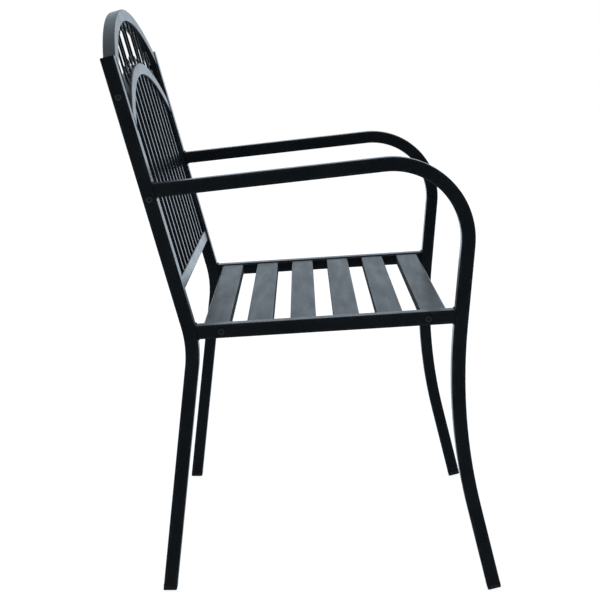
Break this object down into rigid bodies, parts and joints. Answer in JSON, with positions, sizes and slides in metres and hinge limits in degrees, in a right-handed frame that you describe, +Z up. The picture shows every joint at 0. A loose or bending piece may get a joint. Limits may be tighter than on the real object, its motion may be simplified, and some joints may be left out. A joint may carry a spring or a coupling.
{
  "type": "steel garden armchair",
  "caption": "Garden armchair of bent square steel tube with an arched back of upright bars, scrolls between two arches, and a seat of cross slats.",
  "frame": {"origin": "on the floor, under the middle of the bounding box", "axes": "+Z up, the sitter faces -Y, +X is the sitter's left side"},
  "size_m": [0.6066, 0.6483, 0.9293],
  "materials": {
    "frame_powder_coat": "black powder coat, satin, with a fine orange-peel grain",
    "slat_powder_coat": "black powder coat, satin, slightly rubbed on top",
    "bolt_black_zinc": "black zinc plated steel, low gloss",
    "black_plastic": "moulded black plastic, fine grain"
  },
  "bodies": {
    "root": {"rear_post_and_leg_left": "frame_powder_coat", "armrest_and_front_leg_left": "frame_powder_coat", "seat_side_rail_left": "frame_powder_coat", "rear_post_and_leg_right": "frame_powder_coat", "armrest_and_front_leg_right": "frame_powder_coat", "seat_side_rail_right": "frame_powder_coat", "back_outer_arch": "frame_powder_coat", "back_inner_arch": "frame_powder_coat", "back_bottom_rail": "frame_powder_coat", "back_bar_01": "frame_powder_coat", "back_bar_02": "frame_powder_coat", "back_bar_03": "frame_powder_coat", "back_bar_04": "frame_powder_coat", "back_bar_05": "frame_powder_coat", "back_bar_06": "frame_powder_coat", "back_bar_07": "frame_powder_coat", "back_bar_08": "frame_powder_coat", "back_bar_09": "frame_powder_coat", "back_bar_10": "frame_powder_coat", "back_bar_11": "frame_powder_coat", "back_side_bar_left": "frame_powder_coat", "back_side_bar_right": "frame_powder_coat", "back_scroll_centre_left": "frame_powder_coat", "back_scroll_centre_right": "frame_powder_coat", "back_scroll_inner_left": "frame_powder_coat", "back_scroll_inner_right": "frame_powder_coat", "back_scroll_middle_left": "frame_powder_coat", "back_scroll_middle_right": "frame_powder_coat", "back_scroll_rod_left": "frame_powder_coat", "back_scroll_rod_right": "frame_powder_coat", "back_scroll_outer_left": "frame_powder_coat", "back_scroll_outer_right": "frame_powder_coat", "seat_slat_1": "slat_powder_coat", "seat_slat_2": "slat_powder_coat", "seat_slat_3": "slat_powder_coat", "seat_slat_4": "slat_powder_coat", "seat_slat_5": "slat_powder_coat", "seat_slat_6": "slat_powder_coat", "seat_side_bar_left": "frame_powder_coat", "seat_side_bar_right": "frame_powder_coat", "post_bolt_lower_left": "bolt_black_zinc", "post_bolt_upper_left": "bolt_black_zinc", "seat_bolt_rear_left": "bolt_black_zinc", "seat_bolt_front_left": "bolt_black_zinc", "post_bolt_lower_right": "bolt_black_zinc", "post_bolt_upper_right": "bolt_black_zinc", "seat_bolt_rear_right": "bolt_black_zinc", "seat_bolt_front_right": "bolt_black_zinc", "post_cap_left": "black_plastic", "foot_cap_rear_left": "black_plastic", "foot_cap_front_left": "black_plastic", "post_cap_right": "black_plastic", "foot_cap_rear_right": "black_plastic", "foot_cap_front_right": "black_plastic"}
  },
  "joints": []
}
